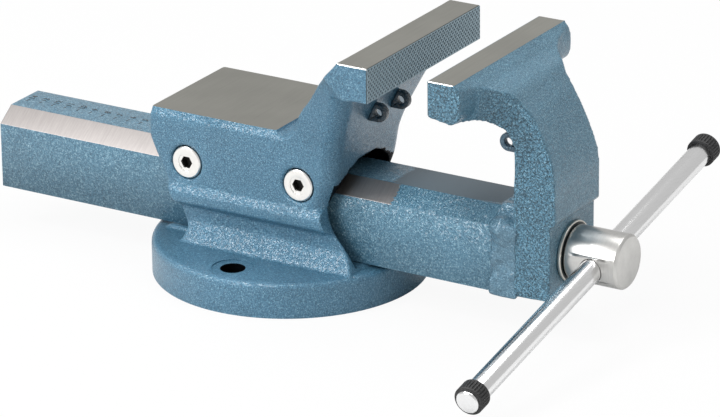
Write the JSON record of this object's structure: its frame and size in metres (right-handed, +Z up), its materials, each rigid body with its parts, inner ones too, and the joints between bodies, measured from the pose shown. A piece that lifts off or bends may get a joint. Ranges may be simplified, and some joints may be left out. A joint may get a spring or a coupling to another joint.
{
  "type": "bench vise",
  "caption": "Forged bench vise on a round bolt-down foot, with an anvil, serrated jaws, a hollow slide moved by a spindle, and a sliding handle bar.",
  "frame": {"origin": "centre of the round foot's underside, where the two bolt holes' line crosses the slide's middle plane", "axes": "+Z up out of the foot, +X along the slide towards the spindle head and handle, +Y across the jaws"},
  "size_m": [0.4848, 0.3374, 0.186],
  "materials": {
    "blue_enamel": "hammered blue enamel on forged steel, with ground steel on the jaws, anvil and slide shoulders",
    "dark_enamel": "hammered dark blue enamel on steel plate",
    "ground_steel": "ground bare steel",
    "zinc_steel": "bright zinc-plated steel",
    "cast_nut": "machined cast iron",
    "turned_steel": "turned bright steel",
    "bright_bar": "polished bright steel bar",
    "black_rubber": "moulded ribbed black rubber"
  },
  "bodies": {
    "vise_body": {"body_forging": "blue_enamel", "fixed_jaw_lugs": "dark_enamel", "gib_near": "ground_steel", "gib_far": "ground_steel", "gib_screw_near_rear": "zinc_steel", "gib_screw_near_front": "zinc_steel", "gib_screw_far_rear": "zinc_steel", "gib_screw_far_front": "zinc_steel", "spindle_nut": "cast_nut", "nut_screws": "zinc_steel"},
    "slide": {"slide_beam": "blue_enamel", "beam_weld_collar": "blue_enamel", "front_jaw": "blue_enamel", "front_jaw_lugs": "dark_enamel", "spindle_bush": "cast_nut", "thrust_washer_front": "zinc_steel", "thrust_washer_rear": "zinc_steel"},
    "spindle_body": {"spindle": "turned_steel", "retaining_collar": "turned_steel", "collar_pin": "turned_steel"},
    "handle": {"handle_bar": "bright_bar", "handle_ring_near": "black_rubber", "handle_ring_far": "black_rubber"}
  },
  "joints": [
    {"name": "slide_travel", "type": "slide", "parent": "vise_body", "child": "slide", "axis": [1, 0, 0], "range_m": [-0.045, 0.155]},
    {"name": "spindle_turn", "type": "hinge", "parent": "slide", "child": "spindle_body", "pos_m": [0.2445, 0, 0.0547], "axis": [1, 0, 0], "range_deg": [-3245, 11165]},
    {"name": "handle_slide", "type": "slide", "parent": "spindle_body", "child": "handle", "axis": [0, 0.9813, 0.1925], "range_m": [-0.1225, 0.1535]}
  ],
  "couplings": [
    {"joint": "spindle_turn", "follows": "slide_travel", "rad_per_m": 1256.6}
  ]
}
